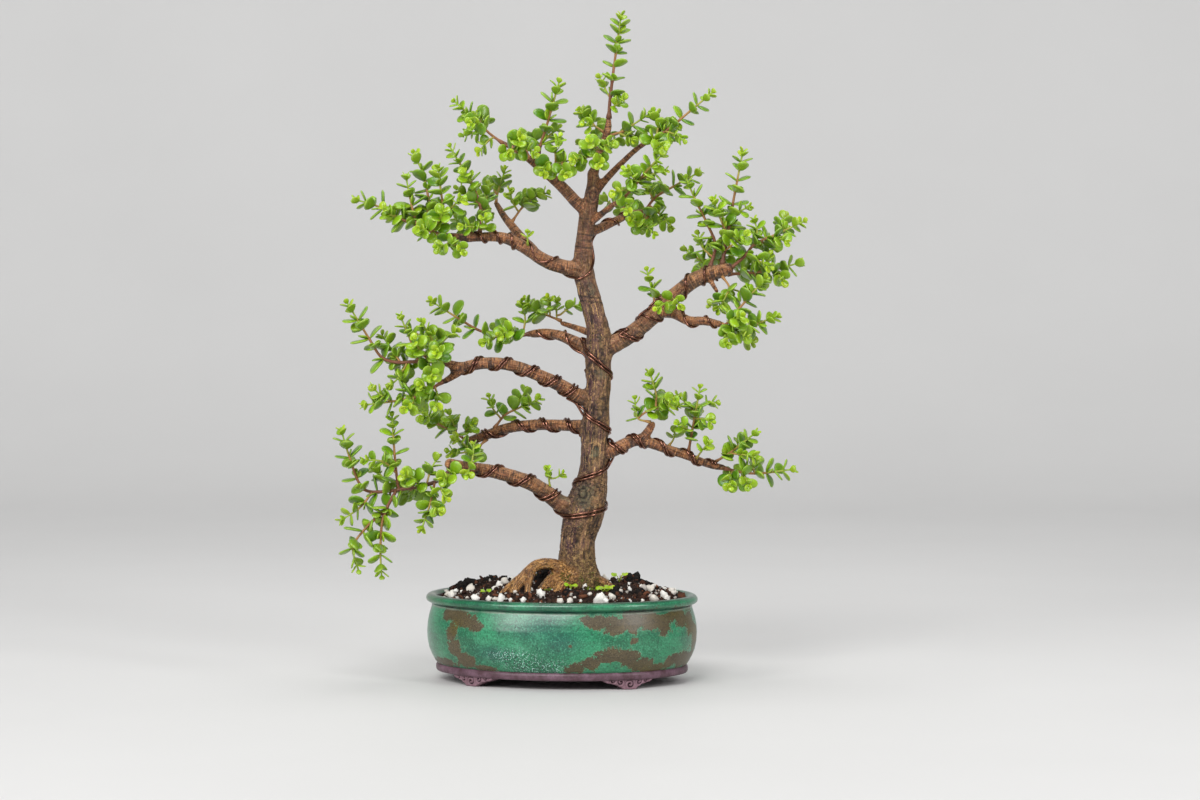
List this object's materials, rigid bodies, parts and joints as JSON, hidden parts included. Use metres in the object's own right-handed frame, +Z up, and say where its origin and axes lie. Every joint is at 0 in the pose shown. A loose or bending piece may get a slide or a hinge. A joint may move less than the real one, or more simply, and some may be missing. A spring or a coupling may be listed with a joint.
{
  "type": "potted dwarf jade bonsai",
  "caption": "Dwarf jade trained as an informal upright bonsai, with wired limbs and small leaves, in a footed oval glazed pot.",
  "frame": {"origin": "on the surface that the pot stands on, under the middle of the whole plant", "axes": "+Z up the tree, its front towards -Y, and the row of limbs along X"},
  "size_m": [0.4643, 0.2022, 0.6693],
  "materials": {
    "glaze": "gloss",
    "plastic_mesh": "matte",
    "soil": "matte",
    "bark": "matte",
    "wire": "satin",
    "foliage": "satin"
  },
  "bodies": {
    "root": {"drainage_screen_left": "plastic_mesh", "drainage_screen_right": "plastic_mesh", "pot": "glaze", "soil": "soil", "spray_back_left_end": "foliage", "spray_back_left_riser": "foliage", "spray_back_left_under": "foliage", "spray_leader_back": "foliage", "spray_leader_front": "foliage", "spray_leader_left": "foliage", "spray_leader_right": "foliage", "spray_leader_tip": "foliage", "spray_low_left_end": "foliage", "spray_low_left_mid": "foliage", "spray_low_left_sprig": "foliage", "spray_low_right_end": "foliage", "spray_low_right_front": "foliage", "spray_low_right_mid": "foliage", "spray_low_right_riser": "foliage", "spray_low_right_stub_twigs": "foliage", "spray_low_right_upright": "foliage", "spray_mid_left_lower": "foliage", "spray_mid_left_upper": "foliage", "spray_right_back": "foliage", "spray_right_back_end": "foliage", "spray_right_back_rear": "foliage", "spray_right_end": "foliage", "spray_right_end_lower": "foliage", "spray_right_fork_base": "foliage", "spray_right_fork_end": "foliage", "spray_right_front_end": "foliage", "spray_right_inner_riser": "foliage", "spray_right_riser": "foliage", "spray_right_sprig": "foliage", "spray_right_under": "foliage", "spray_riser_end": "foliage", "spray_riser_mid": "foliage", "spray_riser_sprig": "foliage", "spray_top_left_back": "foliage", "spray_top_left_end": "foliage", "spray_top_left_front": "foliage", "spray_top_left_inner": "foliage", "spray_top_left_upright": "foliage", "spray_top_right_end": "foliage", "spray_upper_back_end": "foliage", "spray_upper_back_twig_end": "foliage", "spray_upper_left_back": "foliage", "spray_upper_left_diagonal": "foliage", "spray_upper_left_end": "foliage", "tree_wood": "bark", "wire_1a": "wire", "wire_1b": "wire", "wire_2a": "wire", "wire_2b": "wire", "wire_3a": "wire", "wire_3b": "wire", "wire_4": "wire"}
  },
  "joints": []
}
